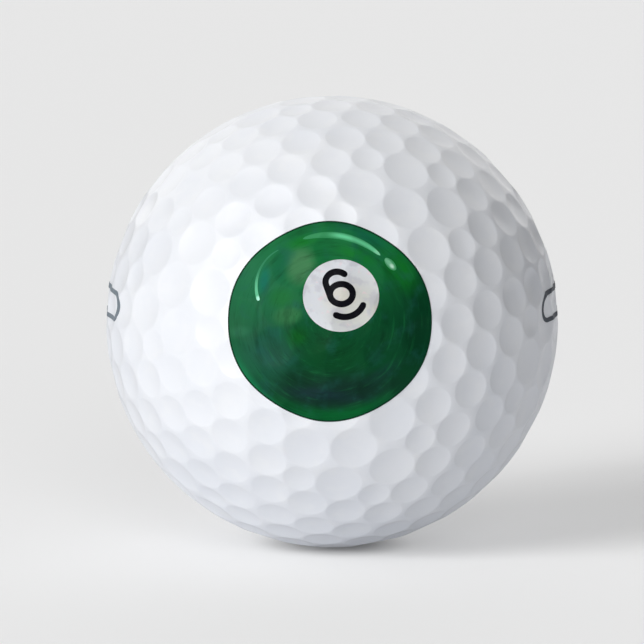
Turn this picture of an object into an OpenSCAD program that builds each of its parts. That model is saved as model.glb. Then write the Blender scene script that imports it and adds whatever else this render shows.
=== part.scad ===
// White dimpled golf ball with a picture of a green number 6 pool ball printed on its front.
// The origin is the centre of the ball. +Z is up and the picture faces -Y.

/* [Ball] */
// Diameter of the ball over the lands between its dimples
ball_d = 42.67; // [42.67:0.01:43.5]
// Thickness of the white cover round the core
cover_t = 1.9; // [1.2:0.1:3]

/* [Dimples] */
// Diameter of the large dimples
large_d = 4.28; // [3.6:0.02:4.3]
// Diameter of the medium dimples
medium_d = 3.64; // [3:0.02:3.66]
// Diameter of the small dimples
small_d = 3; // [2.4:0.02:3.06]
// Depth of a dimple below the flat circle across its rim
dimple_depth = 0.15; // [0.08:0.01:0.22]
// How far the pattern's pole leans from straight up, in degrees
pole_lean = 18.7; // [0:0.1:180]
// Heading that the pole leans towards, in degrees from +X
pole_heading = 178.5; // [0:0.1:360]
// Turn of the pattern about its own pole, in degrees
pattern_turn = 52.9; // [0:0.1:72]

/* [Printed picture] */
// How far the picture looks up from level, in degrees
picture_tilt = 7.5; // [0:0.5:30]
// Diameter of the picture, before its edge swells out
picture_d = 18.2; // [12:0.1:24]
// How far the picture's edge swells out at its two sides
side_swell = 0.13; // [0:0.01:0.3]
// How far the edge swells out four times round
four_swell = 0.05; // [0:0.01:0.3]
// How far the edge swells out six times round, starting from the top
six_swell = 0.06; // [0:0.01:0.3]
// Width of the thin dark outline
outline_w = 0.15; // [0.1:0.05:0.6]
// Thickness of the ink
ink_t = 0.04; // [0.02:0.01:0.1]

/* [Number] */
// Width of the off-white spot
spot_w = 6.86; // [6.5:0.02:7.5]
// Height of the off-white spot
spot_h = 6.52; // [6.2:0.02:7]
// Line width of the numeral and its underline
stroke_w = 0.58; // [0.3:0.01:0.65]
// Width of the numeral's bowl along the middle of its line
bowl_w = 2.05; // [1.6:0.05:2.3]
// Height of the numeral's bowl along the middle of its line
bowl_h = 1.8; // [1.4:0.05:2]
// Radius of the underline
underline_r = 1.83; // [1.6:0.01:2]

/* [Highlights] */
// Widest part of the long highlight at the top
top_highlight_w = 0.6; // [0.3:0.02:0.8]
// Width of the highlight on the left at its lower end
left_highlight_w = 0.3; // [0.2:0.02:0.6]
// Length of the short bright highlight
highlight_dot_l = 1.4; // [0.9:0.1:2]
// Width of the short bright highlight
highlight_dot_w = 0.7; // [0.4:0.05:1]

/* [Side marks] */
// Length of each oval alignment mark
mark_l = 17.6; // [12:0.1:20]
// Height of each alignment mark
mark_h = 2.9; // [2:0.1:4]
// Line width of the alignment marks
mark_line_w = 0.42; // [0.2:0.02:0.6]
// Heading of the middle of each mark from the picture, in degrees
mark_heading = 93; // [85:1:110]
// Height of the marks above the ball's equator, in degrees
mark_tilt = 6.5; // [0:0.5:15]

/* [Hidden] */

ball_r = ball_d / 2;
ball_fn = 200;
dimple_fn = 72;
rim_spare = 0.02;

// The dimples repeat five times round each corner of an icosahedron.
corner_spacing = atan(2);
corners = concat(
    [[0, 0, 0]],
    [for (i = [0:4]) [corner_spacing, 72 * i, 36]],
    [for (i = [0:4]) [180 - corner_spacing, 36 + 72 * i, 0]],
    [[180, 0, 0]]
);

// Each row is a ring of five: distance from the corner, turn about it, and diameter.
pair_turn = 13.3;
rows = [
    [11.8, 36, large_d],
    [16.75, 0, small_d],
    [26.05, 0, medium_d],
    [22.2, 36 - pair_turn, medium_d],
    [22.2, 36 + pair_turn, medium_d],
    [31.5, 36, medium_d],
    [48.95, 36, medium_d]
];

function turned(p, a) = [p.x * cos(a) - p.y * sin(a), p.x * sin(a) + p.y * cos(a), p.z];
function leaned(p, a) = [p.x * cos(a) + p.z * sin(a), p.y, p.z * cos(a) - p.x * sin(a)];
function aim(polar, turn) = [sin(polar) * cos(turn), sin(polar) * sin(turn), cos(polar)];
function at_corner(p, c) = turned(leaned(turned(p, c[2]), c[0]), c[1]);
function on_ball(p) = turned(leaned(turned(p, pattern_turn), pole_lean), pole_heading);

// Every dimple as its direction from the ball's centre and its diameter
dimples = concat(
    [for (c = corners) [on_ball(at_corner([0, 0, 1], c)), large_d]],
    [for (c = corners, row = rows, i = [0:4])
        [on_ball(at_corner(aim(row[0], row[1] + 72 * i), c)), row[2]]]
);

function facing(tilt, heading) =
    [sin(heading) * cos(tilt), -cos(heading) * cos(tilt), sin(tilt)];
function dimples_near(direction, reach) =
    [for (d = dimples) if (d[0] * direction > cos(reach)) d];

// Outlines and lines of the printed picture, with x to the right and y up
picture_reach = 34;
mark_reach = 36;
spot_place = [1.02, 2.32];
bowl_place = [1.06, 2.46];
hook_place = [0.66, 3.57];
hook_end = 50;
hook_side = 195;
underline_place = [1.36, 2.23];
top_highlight_place = [-0.2, 0.75];
top_highlight_r = 7.05;
left_highlight_place = [-2.92, 3.15];
left_highlight_r = 3.71;
highlight_dot_place = [5.47, 5.17];
highlight_dot_turn = -48;

function ellipse(place, w, h, from, to, step = 6) =
    [for (a = [from:step:to]) place + [w / 2 * cos(a), h / 2 * sin(a)]];
function outline_radius(a, r) =
    r + side_swell * cos(2 * a) + four_swell * cos(4 * a) - six_swell * cos(6 * a);
function picture_edge(r) =
    [for (a = [0:4:356]) outline_radius(a, r) * [cos(a), sin(a)]];
function along(path, i) =
    let(last = len(path) - 1,
        step = path[min(i + 1, last)] - path[max(i - 1, 0)])
    step / norm(step);
function side(path, widths, sign) =
    [for (i = [0:len(path) - 1])
        let(d = along(path, i))
        path[i] + sign * widths[i] / 2 * [-d.y, d.x]];
function round_end(path, i, w, from) =
    let(d = along(path, i), heading = atan2(d.y, d.x))
    [for (a = [from:-30:from - 120]) path[i] + w / 2 * [cos(heading + a), sin(heading + a)]];
function reversed(list) = [for (i = [len(list) - 1:-1:0]) list[i]];
function even_width(path, w) = [for (p = path) w];
function pointed_width(path, w) =
    let(last = len(path) - 1)
    [for (i = [0:last]) w * (0.15 + 0.85 * sqrt(sin(180 * i / last)))];
function growing_width(path, w) =
    let(last = len(path) - 1)
    [for (i = [0:last]) w * (0.3 + 0.7 * i / last)];

module line(path, widths) {
    last = len(path) - 1;
    polygon(concat(
        side(path, widths, 1), round_end(path, last, widths[last], 60),
        reversed(side(path, widths, -1)), round_end(path, 0, widths[0], -120)
    ));
}

module dimple(d, grow) {
    direction = d[0];
    r = d[1] / 2;
    rim_height = sqrt(ball_r * ball_r - r * r);
    hollow_r = (r * r + dimple_depth * dimple_depth) / (2 * dimple_depth);
    rotate([0, acos(direction.z), atan2(direction.y, direction.x)])
        intersection() {
            translate([0, 0, rim_height - dimple_depth + hollow_r])
                sphere(r = hollow_r - grow, $fn = dimple_fn);
            translate([0, 0, rim_height - 2 * dimple_depth])
                cylinder(r = r + rim_spare, h = 1, $fn = dimple_fn);
        }
}

module dimpled_ball(grow, dents) {
    difference() {
        sphere(r = ball_r + grow, $fn = ball_fn);
        for (d = dents)
            dimple(d, grow);
    }
}

// A film of ink with the child's outline, lying on the ball and down in its dimples
module ink(tilt, heading, reach) {
    dents = dimples_near(facing(tilt, heading), reach);
    difference() {
        intersection() {
            rotate([90 - tilt, 0, heading])
                translate([0, 0, ball_r / 2])
                    linear_extrude(height = ball_r)
                        children();
            dimpled_ball(ink_t, dents);
        }
        dimpled_ball(0, dents);
    }
}

module picture_ink()
    ink(picture_tilt, 0, picture_reach)
        children();

module spot_shape()
    polygon(ellipse(spot_place, spot_w, spot_h, 0, 354));

module numeral_shape() {
    hook = ellipse(hook_place, bowl_w, bowl_h, hook_end, hook_side, 5);
    foot = bowl_place + hook[len(hook) - 1] - hook_place;
    difference() {
        union() {
            polygon(ellipse(bowl_place, bowl_w + stroke_w, bowl_h + stroke_w, 0, 354));
            line(concat(hook, [foot]), even_width(concat(hook, [foot]), stroke_w));
        }
        polygon(ellipse(bowl_place, bowl_w - stroke_w, bowl_h - stroke_w, 0, 354));
    }
}

module underline_shape() {
    path = ellipse(underline_place, 2 * underline_r, 2 * underline_r, -115, -25, 5);
    line(path, even_width(path, stroke_w));
}

module top_highlight_shape() {
    path = ellipse(top_highlight_place, 2 * top_highlight_r, 2 * top_highlight_r, 48, 108, 3);
    line(path, pointed_width(path, top_highlight_w));
}

module left_highlight_shape() {
    path = ellipse(left_highlight_place, 2 * left_highlight_r, 2 * left_highlight_r, 118, 198, 5);
    line(path, growing_width(path, left_highlight_w));
}

module highlight_dot_shape()
    translate(highlight_dot_place)
        rotate(highlight_dot_turn)
            polygon(ellipse([0, 0], highlight_dot_l, highlight_dot_w, 0, 350, 10));

module mark_shape(l, h) {
    square([l - h, h], center = true);
    for (end = [-1, 1])
        translate([end * (l - h) / 2, 0])
            circle(d = h, $fn = 64);
}

module side_mark(heading)
    ink(mark_tilt, heading, mark_reach) {
        difference() {
            mark_shape(mark_l, mark_h);
            mark_shape(mark_l - 2 * mark_line_w, mark_h - 2 * mark_line_w);
        }
    }

module core()
    color("dimgray")
        sphere(r = ball_r - cover_t, $fn = ball_fn);

module cover()
    color("white")
        difference() {
            dimpled_ball(0, dimples);
            sphere(r = ball_r - cover_t, $fn = ball_fn);
        }

module print_outline()
    color("darkslategray")
        picture_ink()
            difference() {
                polygon(picture_edge(picture_d / 2));
                polygon(picture_edge(picture_d / 2 - outline_w));
            }

module print_field()
    color("green")
        picture_ink()
            difference() {
                polygon(picture_edge(picture_d / 2 - outline_w));
                spot_shape();
                top_highlight_shape();
                left_highlight_shape();
                highlight_dot_shape();
            }

module print_spot()
    color("whitesmoke")
        picture_ink()
            difference() {
                spot_shape();
                numeral_shape();
                underline_shape();
            }

module print_numeral()
    color("black")
        picture_ink()
            numeral_shape();

module print_underline()
    color("black")
        picture_ink()
            underline_shape();

module print_highlight_top()
    color("mediumseagreen")
        picture_ink()
            top_highlight_shape();

module print_highlight_dot()
    color("palegreen")
        picture_ink()
            highlight_dot_shape();

module print_highlight_left()
    color("mediumaquamarine")
        picture_ink()
            left_highlight_shape();

module side_mark_left()
    color("dimgray")
        side_mark(-mark_heading);

module side_mark_right()
    color("dimgray")
        side_mark(mark_heading);

core();
cover();
print_outline();
print_field();
print_spot();
print_numeral();
print_underline();
print_highlight_top();
print_highlight_dot();
print_highlight_left();
side_mark_left();
side_mark_right();
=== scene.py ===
import math

import bpy
import numpy as np
from mathutils import Euler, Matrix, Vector
from mathutils.geometry import delaunay_2d_cdt
from mathutils.kdtree import KDTree


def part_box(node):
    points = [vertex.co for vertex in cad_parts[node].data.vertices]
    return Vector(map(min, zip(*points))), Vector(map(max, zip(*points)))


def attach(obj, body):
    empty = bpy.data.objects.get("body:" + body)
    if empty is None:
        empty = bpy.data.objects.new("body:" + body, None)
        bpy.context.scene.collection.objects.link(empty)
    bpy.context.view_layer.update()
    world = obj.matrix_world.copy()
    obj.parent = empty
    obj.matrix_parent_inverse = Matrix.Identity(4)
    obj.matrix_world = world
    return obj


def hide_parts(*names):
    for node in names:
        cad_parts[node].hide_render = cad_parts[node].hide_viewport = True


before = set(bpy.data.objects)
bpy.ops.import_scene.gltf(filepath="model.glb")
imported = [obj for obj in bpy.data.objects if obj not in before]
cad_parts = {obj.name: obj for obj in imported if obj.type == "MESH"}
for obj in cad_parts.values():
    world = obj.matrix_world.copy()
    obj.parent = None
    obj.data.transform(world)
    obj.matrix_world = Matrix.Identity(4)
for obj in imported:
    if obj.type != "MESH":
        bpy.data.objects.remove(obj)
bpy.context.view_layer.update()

MM = 0.001

# ---------------------------------------------------------------- driving sizes, in mm and degrees
cover_low, cover_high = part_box("cover")
BALL_R = (cover_high.z - cover_low.z) / 2 / MM

LARGE_D, MEDIUM_D, SMALL_D = 4.28, 3.64, 3.0
DIMPLE_DEPTH = 0.15
RIM_SOFTNESS = 0.012
PATTERN_TURN, POLE_LEAN, POLE_HEADING = 52.9, 18.7, 178.5

INK_T = 0.04
PICTURE_TILT = 7.5
PICTURE_R = 9.1
SIDE_SWELL, FOUR_SWELL, SIX_SWELL = 0.13, 0.05, 0.06
OUTLINE_W = 0.15
STROKE_W = 0.58

MARK_L, MARK_H, MARK_LINE_W = 17.6, 2.9, 0.42
MARK_HEADING, MARK_TILT = 93, 6.5


# ---------------------------------------------------------------- dimple layout
def turn_z(degrees):
    a = math.radians(degrees)
    return np.array([[math.cos(a), -math.sin(a), 0], [math.sin(a), math.cos(a), 0], [0, 0, 1]])


def lean_y(degrees):
    a = math.radians(degrees)
    return np.array([[math.cos(a), 0, math.sin(a)], [0, 1, 0], [-math.sin(a), 0, math.cos(a)]])


def aim(polar, turn):
    """The unit direction that lies polar degrees from +Z, turned from +X."""
    p, t = math.radians(polar), math.radians(turn)
    return np.array([math.sin(p) * math.cos(t), math.sin(p) * math.sin(t), math.cos(p)])


def unit(v):
    return v / np.linalg.norm(v, axis=-1, keepdims=True)


def corner_frames():
    """The 12 corners of an icosahedron, as rotations that take +Z to the corner and +X to a neighbour."""
    spacing = math.degrees(math.atan(2))
    places = [(0, 0, 0)]
    places += [(spacing, 72 * i, 36) for i in range(5)]
    places += [(180 - spacing, 36 + 72 * i, 0) for i in range(5)]
    places += [(180, 0, 0)]
    whole = turn_z(POLE_HEADING) @ lean_y(POLE_LEAN) @ turn_z(PATTERN_TURN)
    return [whole @ turn_z(turn) @ lean_y(lean) @ turn_z(spin) for lean, turn, spin in places]


# Five dimples of each row stand round every corner: degrees from the corner, first turn, diameter.
PAIR_TURN = 13.3
DIMPLE_ROWS = [
    (11.8, 36, LARGE_D),
    (16.75, 0, SMALL_D),
    (26.05, 0, MEDIUM_D),
    (22.2, 36 - PAIR_TURN, MEDIUM_D),
    (22.2, 36 + PAIR_TURN, MEDIUM_D),
    (31.5, 36, MEDIUM_D),
    (48.95, 36, MEDIUM_D),
]


def all_dimples(frames):
    """(centre directions, directions that each dimple's rings start from, radii in mm)"""
    centres, starts, radii = [], [], []
    for m in frames:
        corner = m @ np.array([0.0, 0.0, 1.0])
        centres.append(corner)
        starts.append(m @ np.array([1.0, 0.0, 0.0]))
        radii.append(LARGE_D / 2)
        for polar, turn, diameter in DIMPLE_ROWS:
            for i in range(5):
                p = m @ aim(polar, turn + 72 * i)
                centres.append(p)
                starts.append(unit(corner - p * (corner @ p)))
                radii.append(diameter / 2)
    return np.array(centres), np.array(starts), np.array(radii)


CORNERS = corner_frames()
CENTRES, STARTS, RADII = all_dimples(CORNERS)
HOLLOW_R = (RADII ** 2 + DIMPLE_DEPTH ** 2) / (2 * DIMPLE_DEPTH)
HOLLOW_PLACE = np.sqrt(BALL_R ** 2 - RADII ** 2) - DIMPLE_DEPTH + HOLLOW_R


def surface(directions):
    """Radius in mm and outward normal of the dimpled ball along unit directions, with rounded rims."""
    radius = np.empty(len(directions))
    normal = np.empty_like(directions)
    for first in range(0, len(directions), 4000):
        part = slice(first, first + 4000)
        p = directions[part]
        cosine = np.clip(p @ CENTRES.T, -1, 1)
        near = np.argsort(-cosine, axis=1)[:, :3]
        c = np.take_along_axis(cosine, near, axis=1)
        s = np.sqrt(np.maximum(1 - c * c, 1e-12))
        place, hollow = HOLLOW_PLACE[near], HOLLOW_R[near]
        root = np.sqrt(np.maximum(hollow ** 2 - (place * s) ** 2, 1e-6))
        bowl = np.where(place * s < hollow, place * c - root, BALL_R + 5)
        depth = np.clip((BALL_R - bowl) / RIM_SOFTNESS, -60, 60)
        radius[part] = BALL_R - RIM_SOFTNESS * np.log1p(np.exp(depth)).sum(axis=1)
        slope = (-place * s + place ** 2 * s * c / root) / (1 + np.exp(-depth))
        away = (p[:, None, :] * c[..., None] - CENTRES[near]) / s[..., None]
        gradient = (slope[..., None] * away).sum(axis=1)
        normal[part] = unit(p - gradient / radius[part][:, None])
    return radius, normal


# ---------------------------------------------------------------- the cover's mesh
# Rings of points follow each dimple, so that its rim is a clean edge in the mesh.
# RIM_STEPS are rings near the rim, in mm outside it. INNER_RINGS are shares of the radius and of the count.
RIM_STEPS = [-0.15, -0.07, 0.0, 0.05]
INNER_RINGS = [(0.3, 0.25), (0.58, 0.5), (0.84, 0.75)]
RING_POINTS = {LARGE_D: 40, MEDIUM_D: 32, SMALL_D: 24}
RING_GAP = 0.02
LAND_SPACING, LAND_GAP = 0.42, 0.12
# On the unit sphere: how near a point counts as on a face's border, and as the same point as another.
ON_BORDER, SAME_POINT = 1e-5, 2e-5


def ring(i, radius, count):
    """Unit directions of a circle of points about dimple i, radius in mm on the flat."""
    angle = math.asin(radius / BALL_R)
    turns = 2 * math.pi * np.arange(count) / count
    across = np.cross(CENTRES[i], STARTS[i])
    flat = np.cos(turns)[:, None] * STARTS[i] + np.sin(turns)[:, None] * across
    return math.cos(angle) * CENTRES[i] + math.sin(angle) * flat


def dimple_points(i):
    r = RADII[i]
    count = RING_POINTS[2 * r]
    rings = [CENTRES[i][None, :]]
    rings += [ring(i, share * r, round(count * part)) for share, part in INNER_RINGS]
    rings += [ring(i, r + step, count) for step in RIM_STEPS]
    return np.concatenate(rings)


def clear_of_rims(points, gap, own=None):
    """Which points lie more than gap mm outside every dimple's rim, leaving out each point's own dimple."""
    distance = np.arccos(np.clip(points @ CENTRES.T, -1, 1)) * BALL_R - RADII
    if own is not None:
        distance[np.arange(len(points)), own] = BALL_R
    return distance.min(axis=1) > gap


def face_points(triangle):
    """Every mesh point in one face of the icosahedron, whose three corner directions are given."""
    middle = unit(triangle.sum(axis=0))
    sides = np.array([np.cross(triangle[k], triangle[(k + 1) % 3]) for k in range(3)])
    near = np.where(CENTRES @ middle > math.cos(math.radians(46)))[0]
    points = []
    for i in near:
        ours = dimple_points(i)
        keep = clear_of_rims(ours, RING_GAP, np.full(len(ours), i))
        points.append(ours[keep])
    steps = round(math.acos(triangle[0] @ triangle[1]) * BALL_R / LAND_SPACING)
    land = [
        unit((triangle[0] * a + triangle[1] * b + triangle[2] * (steps - a - b)) / steps)
        for a in range(steps + 1) for b in range(steps + 1 - a)
    ]
    land = np.array(land)
    points.append(land[clear_of_rims(land, LAND_GAP)])
    points = np.concatenate(points)
    return points[(points @ sides.T).min(axis=1) > -1e-6]


def nearest_first(points, reach):
    """For each point, the lowest index among the points within reach of it, so that doubles share one."""
    tree = KDTree(len(points))
    places = points.tolist()
    for n, place in enumerate(places):
        tree.insert(place, n)
    tree.balance()
    return np.array([min(n for _, n, _ in tree.find_range(place, reach)) for place in places])


def ball_mesh_data():
    """(unit directions, triangles) of the whole ball: one face's mesh, turned onto all 20."""
    tips = np.array([m @ np.array([0.0, 0.0, 1.0]) for m in CORNERS])
    touching = np.abs(tips @ tips.T - 1 / math.sqrt(5)) < 1e-6
    faces = []
    for i in range(12):
        for j in range(i + 1, 12):
            for k in range(j + 1, 12):
                if touching[i, j] and touching[j, k] and touching[i, k]:
                    order = (i, j, k) if np.linalg.det(tips[[i, j, k]]) > 0 else (i, k, j)
                    faces.append(tips[list(order)])

    def basis(triangle):
        middle = unit(triangle.sum(axis=0))
        first = unit(triangle[0] - middle * (triangle[0] @ middle))
        return np.stack([first, np.cross(middle, first), middle], axis=1)

    home = basis(faces[0])
    local = face_points(faces[0]) @ home
    flat = local[:, :2] / local[:, 2:]
    corners = faces[0] @ home
    corners = corners[:, :2] / corners[:, 2:]
    border = []
    sides = []
    for k in range(3):
        a, b = corners[k], corners[(k + 1) % 3]
        run = (b - a) / np.linalg.norm(b - a)
        out = np.array([-run[1], run[0]])
        on = np.where(np.abs((flat - a) @ out) < ON_BORDER)[0]
        on = on[np.argsort((flat[on] - a) @ run)]
        border += [(int(p), int(q)) for p, q in zip(on[:-1], on[1:])]
        sides.append((a, out))
    verts, _, tris, *_ = delaunay_2d_cdt([Vector(p) for p in flat], border, [], 0, 1e-7)
    flat = np.array([v[:] for v in verts])
    tris = np.array([t[:] for t in tris])
    # Slivers whose three points all lie on one side of the face go.
    for a, out in sides:
        on = np.abs((flat - a) @ out) < ON_BORDER
        tris = tris[~on[tris].all(axis=1)]
    local = unit(np.column_stack([flat, np.ones(len(flat))]))

    points = np.concatenate([local @ basis(f).T for f in faces])
    triangles = np.concatenate([tris + len(local) * n for n in range(20)])
    first, same = np.unique(nearest_first(points, SAME_POINT), return_inverse=True)
    triangles = same.reshape(-1)[triangles]
    points = points[first]
    whole = (triangles[:, 0] != triangles[:, 1]) & (triangles[:, 1] != triangles[:, 2]) \
        & (triangles[:, 0] != triangles[:, 2])
    return points, triangles[whole]


def new_piece(name, coords, triangles, corner_normals, material, replaced):
    mesh = bpy.data.meshes.new(name)
    mesh.from_pydata((coords * MM).tolist(), [], triangles.tolist())
    mesh.update()
    mesh.polygons.foreach_set("use_smooth", [True] * len(mesh.polygons))
    mesh.normals_split_custom_set(corner_normals.reshape(-1, 3).tolist())
    mesh.materials.append(material)
    piece = bpy.data.objects.new(name, mesh)
    bpy.context.collection.objects.link(piece)
    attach(piece, "root")
    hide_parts(replaced)


def make_cover(material):
    """Builds the cover and returns its mesh points in mm."""
    points, triangles = ball_mesh_data()
    radius, normal = surface(points)
    coords = points * radius[:, None]
    a, b, c = coords[triangles[:, 0]], coords[triangles[:, 1]], coords[triangles[:, 2]]
    inward = (np.cross(b - a, c - a) * a).sum(axis=1) < 0
    triangles[inward] = triangles[inward][:, ::-1]
    new_piece("cover_shell", coords, triangles, normal[triangles], material, "cover")
    return coords


# ---------------------------------------------------------------- outlines of the print, in mm
# Each is a closed loop of points with x to the right and y up, seen along the print's own axis.
SPOT_PLACE, SPOT_W, SPOT_H = (1.02, 2.32), 6.86, 6.52
BOWL_PLACE, HOOK_PLACE, BOWL_W, BOWL_H = (1.06, 2.46), (0.66, 3.57), 2.05, 1.8
HOOK_END, HOOK_SIDE = 50, 195
UNDERLINE_PLACE, UNDERLINE_R = (1.36, 2.23), 1.83
TOP_HIGHLIGHT_PLACE, TOP_HIGHLIGHT_R, TOP_HIGHLIGHT_W = (-0.2, 0.75), 7.05, 0.6
LEFT_HIGHLIGHT_PLACE, LEFT_HIGHLIGHT_R, LEFT_HIGHLIGHT_W = (-2.92, 3.15), 3.71, 0.3
DOT_PLACE, DOT_L, DOT_W, DOT_TURN = (5.47, 5.17), 1.4, 0.7, -48
# Spacing of points along an outline, and how far the mesh's other points keep from it.
EDGE_SPACING, EDGE_GAP = 0.15, 0.06


def ellipse(place, w, h, first=0, last=360, count=96):
    """Points of an ellipse or, where first and last aren't a whole turn apart, of a stretch of one."""
    whole = last - first == 360
    a = np.radians(np.linspace(first, last, count, endpoint=not whole))
    return np.column_stack([place[0] + w / 2 * np.cos(a), place[1] + h / 2 * np.sin(a)])


def picture_edge(r):
    """A circle that swells a little, as the painted ball's edge does."""
    a = np.linspace(0, 2 * math.pi, 360, endpoint=False)
    r = r + SIDE_SWELL * np.cos(2 * a) + FOUR_SWELL * np.cos(4 * a) - SIX_SWELL * np.cos(6 * a)
    return np.column_stack([r * np.cos(a), r * np.sin(a)])


def line(path, widths):
    """The outline of a line of varying width with round ends."""
    run = unit(np.gradient(path, axis=0))
    left = np.column_stack([-run[:, 1], run[:, 0]])
    half = np.broadcast_to(np.asarray(widths, float) / 2, len(path))[:, None]

    def round_end(i, first):
        heading = math.atan2(run[i, 1], run[i, 0])
        a = heading + np.radians(np.arange(first, first - 121, -15))
        return path[i] + half[i] * np.column_stack([np.cos(a), np.sin(a)])

    return np.concatenate([
        path + half * left, round_end(-1, 75)[:11],
        (path - half * left)[::-1], round_end(0, -105)[:11],
    ])


def pointed(count, width):
    """Widths of a stroke that is pointed at both ends."""
    return width * (0.15 + 0.85 * np.sqrt(np.sin(math.pi * np.linspace(0, 1, count))))


def growing(count, width):
    """Widths of a stroke that grows from one end to the other."""
    return width * np.linspace(0.3, 1, count)


def stadium(l, h):
    """A long shape with straight sides and round ends."""
    right = ellipse(((l - h) / 2, 0), h, h, -90, 90, 24)
    left = ellipse((-(l - h) / 2, 0), h, h, 90, 270, 24)
    return evened(np.concatenate([right, left]), EDGE_SPACING)


def evened(loop, spacing):
    """The same loop with points added so that none are further apart than spacing."""
    out = []
    for a, b in zip(loop, np.roll(loop, -1, axis=0)):
        n = max(1, math.ceil(np.linalg.norm(b - a) / spacing))
        out += [a + (b - a) * i / n for i in range(n)]
    return np.array(out)


def hook_path():
    """The numeral's hook and the straight stroke from it down to the bowl."""
    hook = ellipse(HOOK_PLACE, BOWL_W, BOWL_H, HOOK_END, HOOK_SIDE, 30)
    foot = hook[-1] + np.subtract(BOWL_PLACE, HOOK_PLACE)
    straight = [hook[-1] + (foot - hook[-1]) * i / 6 for i in range(1, 7)]
    return np.concatenate([hook, straight])


def print_loops():
    underline = ellipse(UNDERLINE_PLACE, 2 * UNDERLINE_R, 2 * UNDERLINE_R, -115, -25, 20)
    top = ellipse(TOP_HIGHLIGHT_PLACE, 2 * TOP_HIGHLIGHT_R, 2 * TOP_HIGHLIGHT_R, 48, 108, 40)
    left = ellipse(LEFT_HIGHLIGHT_PLACE, 2 * LEFT_HIGHLIGHT_R, 2 * LEFT_HIGHLIGHT_R, 118, 198, 30)
    a = math.radians(DOT_TURN)
    turn = np.array([[math.cos(a), math.sin(a)], [-math.sin(a), math.cos(a)]])
    return {
        "edge": picture_edge(PICTURE_R),
        "inner_edge": picture_edge(PICTURE_R - OUTLINE_W),
        "spot": ellipse(SPOT_PLACE, SPOT_W, SPOT_H, count=160),
        "bowl": ellipse(BOWL_PLACE, BOWL_W + STROKE_W, BOWL_H + STROKE_W),
        "bowl_hole": ellipse(BOWL_PLACE, BOWL_W - STROKE_W, BOWL_H - STROKE_W, count=48),
        "hook": line(hook_path(), STROKE_W),
        "underline": line(underline, STROKE_W),
        "top": line(top, pointed(len(top), TOP_HIGHLIGHT_W)),
        "left": line(left, growing(len(left), LEFT_HIGHLIGHT_W)),
        "dot": ellipse((0, 0), DOT_L, DOT_W, count=40) @ turn + DOT_PLACE,
    }


def inside(loop, p):
    """Which points lie inside a closed loop."""
    a, b = loop, np.roll(loop, -1, axis=0)
    spans = (a[:, 1] > p[:, 1:2]) != (b[:, 1] > p[:, 1:2])
    rise = np.where(b[:, 1] == a[:, 1], 1, b[:, 1] - a[:, 1])
    cross = a[:, 0] + (p[:, 1:2] - a[:, 1]) * (b[:, 0] - a[:, 0]) / rise
    return (spans & (p[:, 0:1] < cross)).sum(axis=1) % 2 == 1


# ---------------------------------------------------------------- films of ink
def view_basis(tilt, heading):
    """Columns: to the right, up and towards the viewer, for a print that faces -Y, tilted up and turned."""
    t = math.radians(tilt)
    upright = np.array([[1, 0, 0], [0, math.sin(t), -math.cos(t)], [0, math.cos(t), math.sin(t)]])
    return turn_z(heading) @ upright


def on_surface(flat, basis):
    """(point on the dimpled ball behind each flat point, outward normal there)"""
    height = np.sqrt(BALL_R ** 2 - (flat ** 2).sum(axis=1))
    for _ in range(5):
        direction = unit(np.column_stack([flat, height]))
        radius, normal = surface(direction @ basis.T)
        height = np.sqrt(np.maximum(radius ** 2 - (flat ** 2).sum(axis=1), 0))
    return np.column_stack([flat, height]) @ basis.T, normal


def film(name, node, material, basis, loops, holds):
    """A closed film of ink over the cover. loops are the outlines, and holds says where the ink is."""
    local = cover_coords @ basis
    reach = max(np.abs(loop).max() for loop in loops)
    inner = local[(local[:, 2] > 0) & (np.hypot(local[:, 0], local[:, 1]) < reach * 1.2)][:, :2]
    inner = inner[holds(inner)]
    edge = np.concatenate([evened(loop, EDGE_SPACING) for loop in loops])
    gap = np.array([np.hypot(*(edge - p).T).min() for p in inner])
    inner = inner[gap > EDGE_GAP] if len(inner) else inner

    flat, sides, first = [inner], [], len(inner)
    for loop in loops:
        n = len(loop)
        flat.append(loop)
        sides += [(first + i, first + (i + 1) % n) for i in range(n)]
        first += n
    flat = np.concatenate(flat)
    verts, _, tris, *_ = delaunay_2d_cdt([Vector(p) for p in flat], sides, [], 0, 1e-6)
    flat = np.array([v[:] for v in verts])
    tris = np.array([t[:] for t in tris])
    tris = tris[holds(flat[tris].mean(axis=1))]
    used, tris = np.unique(tris, return_inverse=True)
    flat, tris = flat[used], tris.reshape(-1, 3)
    a, b, c = flat[tris[:, 0]], flat[tris[:, 1]], flat[tris[:, 2]]
    area = (b[:, 0] - a[:, 0]) * (c[:, 1] - a[:, 1]) - (b[:, 1] - a[:, 1]) * (c[:, 0] - a[:, 0])
    tris[area < 0] = tris[area < 0][:, ::-1]

    under, normal = on_surface(flat, basis)
    over = under + normal * INK_T
    edges = np.concatenate([tris[:, [0, 1]], tris[:, [1, 2]], tris[:, [2, 0]]])
    known = {(int(p), int(q)) for p, q in edges}
    rim = np.array([(p, q) for p, q in known if (q, p) not in known])
    rim = rim[np.lexsort((rim[:, 1], rim[:, 0]))]
    n = len(flat)
    walls = np.concatenate([
        np.column_stack([rim[:, 0], rim[:, 0] + n, rim[:, 1] + n]),
        np.column_stack([rim[:, 0], rim[:, 1] + n, rim[:, 1]]),
    ])
    coords = np.concatenate([over, under])
    out = np.cross(coords[walls[:, 1]] - coords[walls[:, 0]], coords[walls[:, 2]] - coords[walls[:, 0]])
    wall_normals = np.repeat(unit(out)[:, None, :], 3, axis=1)
    faces = np.concatenate([tris, tris[:, ::-1] + n, walls])
    normals = np.concatenate([normal[tris], -normal[tris[:, ::-1]], wall_normals])
    new_piece(name, coords, faces, normals, material, node)


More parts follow.
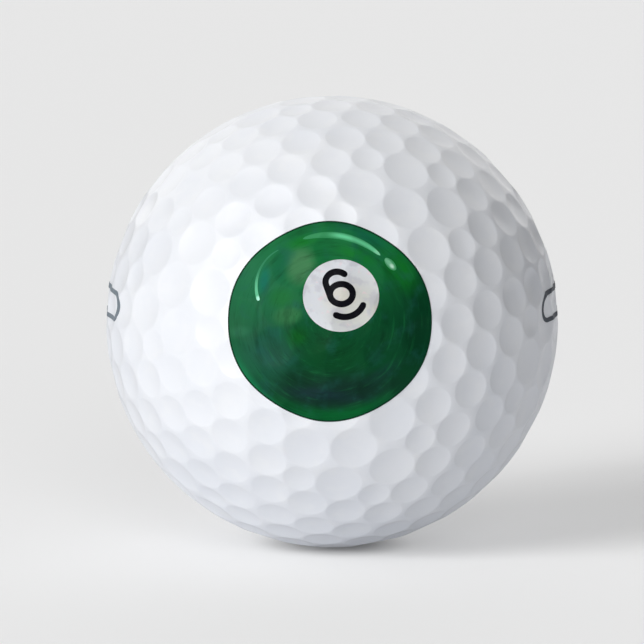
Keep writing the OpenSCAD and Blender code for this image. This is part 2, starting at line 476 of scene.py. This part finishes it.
# ---------------------------------------------------------------- materials
def srgb(r, g, b):
    """A colour given as it looks on screen, 0 to 255, as linear light."""
    def one(c):
        c /= 255
        return c / 12.92 if c <= 0.04045 else ((c + 0.055) / 1.055) ** 2.4
    return (one(r), one(g), one(b), 1)


class Paint:
    """A material whose colour is built up in layers, on coordinates in mm along the picture's own axes."""

    def __init__(self, name, ground, roughness, coat=0.0, coat_roughness=0.05, specular=0.5):
        self.material = bpy.data.materials.new(name)
        self.material.use_nodes = True
        self.tree = self.material.node_tree
        self.shader = self.tree.nodes["Principled BSDF"]
        self.shader.inputs["Roughness"].default_value = roughness
        self.shader.inputs["Coat Weight"].default_value = coat
        self.shader.inputs["Coat Roughness"].default_value = coat_roughness
        self.shader.inputs["Specular IOR Level"].default_value = specular
        turn = self.node("ShaderNodeMapping", vector_type="POINT")
        turn.inputs["Scale"].default_value = (1 / MM,) * 3
        turn.inputs["Rotation"].default_value = Euler((math.radians(PICTURE_TILT - 90), 0, 0))
        place = self.node("ShaderNodeTexCoord")
        self.link(place.outputs["Object"], turn.inputs["Vector"])
        self.place = turn.outputs["Vector"]
        self.ground = ground
        self.colour = None

    def node(self, kind, **settings):
        node = self.tree.nodes.new(kind)
        for key, value in settings.items():
            setattr(node, key, value)
        return node

    def link(self, a, b):
        self.tree.links.new(a, b)

    def math(self, operation, a, b=None):
        node = self.node("ShaderNodeMath", operation=operation)
        for socket, value in zip(node.inputs, (a, b)):
            if value is None:
                continue
            if isinstance(value, (int, float)):
                socket.default_value = value
            else:
                self.link(value, socket)
        return node.outputs[0]

    def ramp(self, value, low, high, to_low=0.0, to_high=1.0):
        """A smooth step from to_low at low to to_high at high."""
        node = self.node("ShaderNodeMapRange", interpolation_type="SMOOTHSTEP")
        for socket, number in zip(node.inputs[1:5], (low, high, to_low, to_high)):
            socket.default_value = number
        self.link(value, node.inputs["Value"])
        return node.outputs["Result"]

    def noise(self, scale, detail=3.0, vector=None, roughness=0.5):
        node = self.node("ShaderNodeTexNoise")
        node.inputs["Scale"].default_value = scale
        node.inputs["Detail"].default_value = detail
        node.inputs["Roughness"].default_value = roughness
        self.link(vector or self.place, node.inputs["Vector"])
        return node.outputs["Fac"]

    def spot_mask(self, x, y, w, h, turn=0, soft=0.7):
        """1 inside a soft ellipse, 0 outside it."""
        node = self.node("ShaderNodeMapping", vector_type="TEXTURE")
        node.inputs["Location"].default_value = (x, y, 0)
        node.inputs["Rotation"].default_value = (0, 0, math.radians(turn))
        node.inputs["Scale"].default_value = (w / 2, h / 2, 1e6)
        self.link(self.place, node.inputs["Vector"])
        length = self.node("ShaderNodeVectorMath", operation="LENGTH")
        self.link(node.outputs["Vector"], length.inputs[0])
        return self.ramp(length.outputs["Value"], 1 - soft, 1 + soft, 1.0, 0.0)

    def layer(self, colour, mask, strength=1.0):
        """Lays a colour over what is there, where mask is above 0."""
        node = self.node("ShaderNodeMix", data_type="RGBA")
        self.link(self.math("MULTIPLY", mask, float(strength)), node.inputs["Factor"])
        if self.colour is None:
            node.inputs["A"].default_value = self.ground
        else:
            self.link(self.colour, node.inputs["A"])
        node.inputs["B"].default_value = colour
        self.colour = node.outputs["Result"]

    def worn(self, low, high):
        """Patches of slightly different gloss, with roughness between low and high."""
        patches = self.ramp(self.noise(0.35, 4), 0.35, 0.7, low, high)
        self.link(patches, self.shader.inputs["Roughness"])

    def done(self):
        self.link(self.colour, self.shader.inputs["Base Color"])
        return self.material


def cover_paint():
    paint = Paint("white_cover", srgb(240, 242, 246), 0.32, coat=0.35, coat_roughness=0.12)
    paint.worn(0.28, 0.38)
    paint.layer(srgb(232, 235, 241), paint.ramp(paint.noise(0.12, 2), 0.35, 0.7), 0.6)
    paint.layer(srgb(246, 247, 248), paint.ramp(paint.noise(0.5, 3), 0.45, 0.75), 0.35)
    return paint.done()


def strokes(paint, across, along):
    """Coordinates that run round the picture's middle, so noise on them looks like curved brush strokes."""
    flat = paint.node("ShaderNodeVectorMath", operation="MULTIPLY")
    flat.inputs[1].default_value = (1, 1, 0)
    paint.link(paint.place, flat.inputs[0])
    way = paint.node("ShaderNodeVectorMath", operation="NORMALIZE")
    paint.link(flat.outputs["Vector"], way.inputs[0])
    long = paint.node("ShaderNodeVectorMath", operation="SCALE")
    long.inputs["Scale"].default_value = along
    paint.link(way.outputs["Vector"], long.inputs[0])
    length = paint.node("ShaderNodeVectorMath", operation="LENGTH")
    paint.link(flat.outputs["Vector"], length.inputs[0])
    radius = length.outputs["Value"]
    out = paint.node("ShaderNodeCombineXYZ")
    paint.link(paint.math("MULTIPLY", radius, float(across)), out.inputs["Z"])
    join = paint.node("ShaderNodeVectorMath", operation="ADD")
    paint.link(long.outputs["Vector"], join.inputs[0])
    paint.link(out.outputs["Vector"], join.inputs[1])
    return join.outputs["Vector"], radius


# Patches of the painted green, three of which are painted reflections of the lights in dimples, in the
# order they are laid down:
# x, y, width, height, turn, softness, strength and colour.
GREEN_PATCHES_AND_PAINTED_REFLECTIONS = [
    (-1.5, 7.0, 22, 11, 8, 0.8, 0.95, (26, 112, 60)),
    (-7.0, 3.0, 7, 9, 20, 0.8, 0.7, (38, 112, 76)),
    (2.5, -4.0, 15, 9, 0, 0.8, 0.8, (11, 68, 39)),
    (8.6, -1.0, 5, 11, 8, 0.8, 0.9, (7, 56, 33)),
    (-8.0, -2.0, 5, 7, 20, 0.8, 0.8, (32, 96, 62)),
    (-5.6, -3.3, 4.5, 4.5, 30, 0.9, 0.65, (36, 84, 74)),
    (-6.6, -5.2, 2.2, 4, 38, 0.9, 0.6, (26, 92, 60)),
    (0.4, -6.5, 13, 3.4, 2, 0.6, 0.95, (20, 52, 42)),
    (-2.9, -5.0, 2.8, 1.3, 4, 0.7, 0.5, (17, 50, 34)),
    (-0.6, -6.6, 5.4, 0.9, -6, 0.8, 0.6, (28, 50, 60)),
    (4.9, -4.6, 3.2, 1.0, 34, 0.8, 0.5, (26, 60, 58)),
    # Painted reflection of the lights in a dimple, upper left of the spot.
    (-2.6, 5.0, 2.3, 3.0, -14, 0.5, 0.55, (84, 134, 92)),
    (-4.5, 5.1, 1.3, 2.9, -8, 0.7, 0.55, (18, 100, 66)),
    (-5.9, 3.7, 0.8, 2.2, -10, 0.7, 0.75, (14, 112, 92)),
    # Painted reflection of the lights in a dimple, left of the spot.
    (-3.8, 0.5, 2.4, 1.5, 8, 0.5, 0.4, (66, 132, 78)),
    (-4.4, 2.1, 2.0, 1.6, 0, 0.7, 0.5, (28, 112, 42)),
    (-2.9, -1.4, 1.5, 1.4, 20, 0.9, 0.6, (20, 104, 26)),
    # Painted reflection of the lights in a dimple, faint, near the left edge.
    (-8.1, -0.9, 1.6, 0.9, 0, 0.6, 0.4, (50, 118, 84)),
    (-2.4, 7.2, 2.2, 0.8, 16, 0.9, 0.6, (22, 122, 32)),
    (2.3, 6.0, 2.8, 0.9, -22, 0.9, 0.6, (18, 118, 30)),
    (6.3, 4.6, 1.9, 3.6, 36, 0.9, 0.65, (18, 120, 30)),
    (3.4, 7.6, 3.6, 0.9, -26, 0.8, 0.6, (18, 100, 76)),
    (-1.1, 3.4, 1.4, 4.4, -20, 0.8, 0.35, (16, 98, 56)),
    (0.2, -3.2, 5.0, 2.6, 0, 0.9, 0.4, (12, 78, 34)),
]


def green_paint():
    paint = Paint("green_ink", srgb(14, 82, 45), 0.4, specular=0.03)
    broad, radius = strokes(paint, 1.1, 1.3)
    fine, _ = strokes(paint, 3.2, 2.2)
    # The patches are the printed picture's own colours, save three that are painted reflections of the
    # lights in dimples.
    for x, y, w, h, turn, soft, strength, colour in GREEN_PATCHES_AND_PAINTED_REFLECTIONS:
        paint.layer(srgb(*colour), paint.spot_mask(x, y, w, h, turn, soft), strength)
    rim = paint.math("MULTIPLY", paint.spot_mask(0.4, -9.0, 15, 5, 0, 0.7), paint.ramp(radius, 7.5, 8.5))
    paint.layer(srgb(9, 97, 46), rim, 0.9)
    rim = paint.math("MULTIPLY", paint.spot_mask(-7.4, -6.4, 4, 6, 42, 0.8), paint.ramp(radius, 8.4, 9.0))
    paint.layer(srgb(28, 136, 84), rim, 0.7)
    paint.layer(srgb(8, 44, 26), paint.ramp(paint.noise(1.0, 4, broad, 0.6), 0.46, 0.75), 0.45)
    paint.layer(srgb(34, 128, 70), paint.ramp(paint.noise(1.0, 4, fine, 0.6), 0.52, 0.8), 0.3)
    paint.layer(srgb(34, 92, 84), paint.ramp(paint.noise(0.6, 3), 0.5, 0.75), 0.35)
    paint.layer(srgb(6, 48, 26), paint.ramp(paint.noise(1.7, 3, fine, 0.6), 0.56, 0.75), 0.35)
    return paint.done()


def top_highlight_paint():
    paint = Paint("top_highlight_ink", srgb(100, 200, 146), 0.4, specular=0.05)
    wisps, _ = strokes(paint, 3.0, 2.5)
    paint.layer(srgb(72, 172, 112), paint.ramp(paint.noise(1.0, 4, wisps, 0.6), 0.45, 0.7), 0.5)
    paint.layer(srgb(36, 128, 74), paint.spot_mask(-0.2, 0.75, 13.8, 13.8, 0, 0.018), 0.8)
    outside = paint.math("SUBTRACT", 1.0, paint.spot_mask(-0.2, 0.75, 14.5, 14.5, 0, 0.018))
    paint.layer(srgb(36, 128, 74), outside, 0.8)
    paint.layer(srgb(50, 138, 84), paint.spot_mask(-1.9, 7.6, 4.4, 3, 0, 0.35), 0.9)
    paint.layer(srgb(140, 214, 172), paint.spot_mask(4.3, 6.2, 0.6, 0.4, -35, 0.8), 0.7)
    return paint.done()


def left_highlight_paint():
    paint = Paint("left_highlight_ink", srgb(48, 130, 90), 0.4, specular=0.05)
    paint.layer(srgb(104, 196, 150), paint.spot_mask(-6.6, 2.4, 2, 2.8, 0, 0.8), 0.9)
    paint.layer(srgb(178, 246, 220), paint.spot_mask(-6.42, 2.02, 0.4, 0.5, 0, 0.6), 0.95)
    return paint.done()


def dot_paint():
    paint = Paint("pale_green_ink", srgb(70, 158, 104), 0.4, specular=0.05)
    paint.layer(srgb(130, 204, 160), paint.spot_mask(5.4, 5.24, 1.1, 0.4, DOT_TURN, 0.5), 0.9)
    paint.layer(srgb(204, 246, 220), paint.spot_mask(5.62, 5.0, 0.4, 0.26, DOT_TURN, 0.8), 0.95)
    return paint.done()


def spot_paint():
    paint = Paint("white_ink", srgb(218, 221, 226), 0.4, specular=0.1)
    paint.layer(srgb(204, 205, 194), paint.spot_mask(2.6, 1.2, 5, 4.6, 30, 0.8), 0.8)
    paint.layer(srgb(206, 200, 186), paint.spot_mask(0.9, 2.3, 2.4, 1.8, 20, 0.8), 0.6)
    paint.layer(srgb(192, 192, 200), paint.ramp(paint.noise(0.9, 5), 0.48, 0.66), 0.6)
    paint.layer(srgb(232, 206, 212), paint.ramp(paint.noise(1.6, 3), 0.6, 0.72), 0.5)
    paint.layer(srgb(226, 226, 206), paint.ramp(paint.noise(1.1, 2), 0.62, 0.8), 0.4)
    return paint.done()


def dark_paint(name, colour, light):
    paint = Paint(name, colour, 0.4, specular=0.05)
    paint.layer(light, paint.ramp(paint.noise(2.0, 4), 0.5, 0.8), 0.5)
    return paint.done()


def core_paint():
    paint = Paint("core_rubber", srgb(70, 76, 88), 0.7)
    paint.layer(srgb(52, 57, 66), paint.ramp(paint.noise(0.6, 4), 0.4, 0.7), 0.8)
    return paint.done()


# ---------------------------------------------------------------- the ball and its print
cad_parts["core"].data.materials.clear()
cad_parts["core"].data.materials.append(core_paint())

cover_coords = make_cover(cover_paint())


def make_print():
    basis = view_basis(PICTURE_TILT, 0)
    loops = print_loops()
    black = dark_paint("black_ink", srgb(14, 14, 20), srgb(34, 34, 42))
    dark = dark_paint("outline_ink", srgb(10, 58, 36), srgb(6, 42, 26))

    def area(solid, *gaps):
        def holds(p):
            keep = np.zeros(len(p), bool)
            for key in solid:
                keep |= inside(loops[key], p)
            for key in gaps:
                keep &= ~inside(loops[key], p)
            return keep
        return [loops[key] for key in (*solid, *gaps)], holds

    def spot_holds(p):
        numeral = (inside(loops["bowl"], p) | inside(loops["hook"], p)) & ~inside(loops["bowl_hole"], p)
        return inside(loops["spot"], p) & ~numeral & ~inside(loops["underline"], p)

    spot_area = ([loops[k] for k in ("spot", "bowl", "hook", "bowl_hole", "underline")], spot_holds)
    parts = [
        ("outline", "ink_dark", dark, area(["edge"], "inner_edge")),
        ("field", "ink_green", green_paint(), area(["inner_edge"], "spot", "top", "left", "dot")),
        ("spot", "ink_white", spot_paint(), spot_area),
        ("numeral", "ink_black", black, area(["bowl", "hook"], "bowl_hole")),
        ("underline", "ink_black", black, area(["underline"])),
        ("highlight_top", "ink_light_green", top_highlight_paint(), area(["top"])),
        ("highlight_dot", "ink_pale_green", dot_paint(), area(["dot"])),
        ("highlight_left", "ink_light_green", left_highlight_paint(), area(["left"])),
    ]
    for name, slot, material, (lines, holds) in parts:
        film(f"ink_{name}", f"print_{name}", material, basis, lines, holds)


def make_side_marks():
    outer = stadium(MARK_L, MARK_H)
    inner = stadium(MARK_L - 2 * MARK_LINE_W, MARK_H - 2 * MARK_LINE_W)
    # Both marks are one grey ink: the left one's grey is painted lighter as painted light, the right one's
    # darker as painted shade.
    painted_lit_grey = dark_paint("grey_ink_painted_lit", srgb(118, 128, 136), srgb(140, 148, 154))
    painted_shade_grey = dark_paint("grey_ink_painted_shade", srgb(78, 84, 92), srgb(104, 108, 114))

    def holds(p):
        return inside(outer, p) & ~inside(inner, p)

    for side, heading, grey in (("left", -MARK_HEADING, painted_lit_grey), ("right", MARK_HEADING, painted_shade_grey)):
        basis = view_basis(MARK_TILT, heading)
        film(f"ink_mark_{side}", f"side_mark_{side}", grey, basis, [outer, inner], holds)


make_print()
make_side_marks()


# ---------------------------------------------------------------- floor, lights and camera
FLOOR_HALF = 4.0
FLOOR_GLOW = 0.325
CONTACT_DARK, CONTACT_LIGHT = 2 * MM, 8.5 * MM
WORLD_GLOW = 0.1
# Lights on everything but the seen floor: name, azimuth, elevation, spread in degrees, strength.
BALL_LIGHTS = [
    ("front_high", -37, 35, 70, 0.53),
    ("front_low", -35, 8, 30, 0.39),
    ("behind_low", 180, 10, 90, 0.12),
    ("behind_high", 180, 45, 90, 0.32),
]
# Lights on the seen floor only.
FLOOR_LIGHTS = [
    ("floor_side", -60, 14, 24, 1.0),
    ("floor_front_left", -45, 24, 24, 0.6),
    ("floor_front", 10, 24, 24, 0.25),
    ("floor_behind", 180, 20, 50, 0.15),
    ("floor_top", 0, 90, 120, 0.19),
]
CAMERA_DISTANCE, CAMERA_ELEVATION, CAMERA_HEADING = 0.4466, 7.5, 0.64
CAMERA_LENS = 264.03
CAMERA_SHIFT = (-0.0157, -0.0009)


def make_floor(name, colour, glow, drop):
    """A wide level floor, drop mm below the ball."""
    mesh = bpy.data.meshes.new(name)
    r = FLOOR_HALF
    z = -(BALL_R + drop) * MM
    mesh.from_pydata([(-r, -r, z), (r, -r, z), (r, r, z), (-r, r, z)], [], [(0, 1, 2, 3)])
    floor = bpy.data.objects.new(name, mesh)
    bpy.context.collection.objects.link(floor)
    material = bpy.data.materials.new(name)
    material.use_nodes = True
    shader = material.node_tree.nodes["Principled BSDF"]
    shader.inputs["Base Color"].default_value = (*colour, 1)
    shader.inputs["Roughness"].default_value = 0.9
    shader.inputs["Specular IOR Level"].default_value = 0.05
    shader.inputs["Emission Color"].default_value = (1, 1, 1, 1)
    shader.inputs["Emission Strength"].default_value = glow
    mesh.materials.append(material)
    return floor


def dim_contact(floor):
    """The floor's glow fades to a fifth under the ball, in place of the skylight that the ball hides."""
    tree = floor.data.materials[0].node_tree
    place = tree.nodes.new("ShaderNodeTexCoord")
    flat = tree.nodes.new("ShaderNodeVectorMath")
    flat.operation = "MULTIPLY"
    flat.inputs[1].default_value = (1, 1, 0)
    tree.links.new(place.outputs["Object"], flat.inputs[0])
    away = tree.nodes.new("ShaderNodeVectorMath")
    away.operation = "LENGTH"
    tree.links.new(flat.outputs["Vector"], away.inputs[0])
    fade = tree.nodes.new("ShaderNodeMapRange")
    fade.interpolation_type = "SMOOTHSTEP"
    for socket, number in zip(fade.inputs[1:5], (CONTACT_DARK, CONTACT_LIGHT, FLOOR_GLOW / 5, FLOOR_GLOW)):
        socket.default_value = number
    tree.links.new(away.outputs["Value"], fade.inputs["Value"])
    tree.links.new(fade.outputs["Result"], tree.nodes["Principled BSDF"].inputs["Emission Strength"])


def outward(azimuth, elevation):
    """Azimuth 0 points from the ball to the camera's side, 90 to its right and 180 behind the ball."""
    a, e = math.radians(azimuth), math.radians(elevation)
    return Vector((math.sin(a) * math.cos(e), -math.cos(a) * math.cos(e), math.sin(e)))


def soft_light(name, azimuth, elevation, spread, strength, floor, on_floor):
    """A large soft light far away, either on the seen floor only or on everything but that floor."""
    towards = outward(azimuth, elevation)
    data = bpy.data.lights.new(name, "SUN")
    data.angle = math.radians(spread)
    data.energy = strength * math.pi
    light = bpy.data.objects.new(name, data)
    light.rotation_euler = towards.to_track_quat("Z", "Y").to_euler()
    bpy.context.collection.objects.link(light)
    lit = bpy.data.collections.new(name)
    lit.objects.link(floor)
    lit.collection_objects[0].light_linking.link_state = "INCLUDE" if on_floor else "EXCLUDE"
    light.light_linking.receiver_collection = lit


def make_set():
    """The seen floor is evenly lit. A second one, unseen by the camera, throws light up at the ball."""
    floor = make_floor("floor", (0.5, 0.5, 0.5), FLOOR_GLOW, 0)
    dim_contact(floor)
    floor.visible_diffuse = False
    floor.visible_glossy = False
    floor.visible_shadow = False
    card = make_floor("bounce_card", (0.76, 0.77, 0.795), 0.075, 0.02)
    card.visible_camera = False

    world = bpy.data.worlds.new("studio")
    world.use_nodes = True
    background = world.node_tree.nodes["Background"]
    background.inputs["Color"].default_value = (1, 1, 1, 1)
    background.inputs["Strength"].default_value = WORLD_GLOW
    bpy.context.scene.world = world
    for light in BALL_LIGHTS:
        soft_light(*light, floor, False)
    for light in FLOOR_LIGHTS:
        soft_light(*light, floor, True)
    bpy.context.scene.view_settings.view_transform = "Standard"


def make_camera():
    """A long lens aimed at the ball's middle, with a small shift that sets the ball a little off centre."""
    data = bpy.data.cameras.new("camera")
    data.lens = CAMERA_LENS
    data.shift_x, data.shift_y = CAMERA_SHIFT
    data.clip_start = 0.01
    camera = bpy.data.objects.new("camera", data)
    camera.location = outward(CAMERA_HEADING, CAMERA_ELEVATION) * CAMERA_DISTANCE
    camera.rotation_euler = (math.radians(90 - CAMERA_ELEVATION), 0, math.radians(CAMERA_HEADING))
    bpy.context.collection.objects.link(camera)
    bpy.context.scene.camera = camera


make_set()
make_camera()
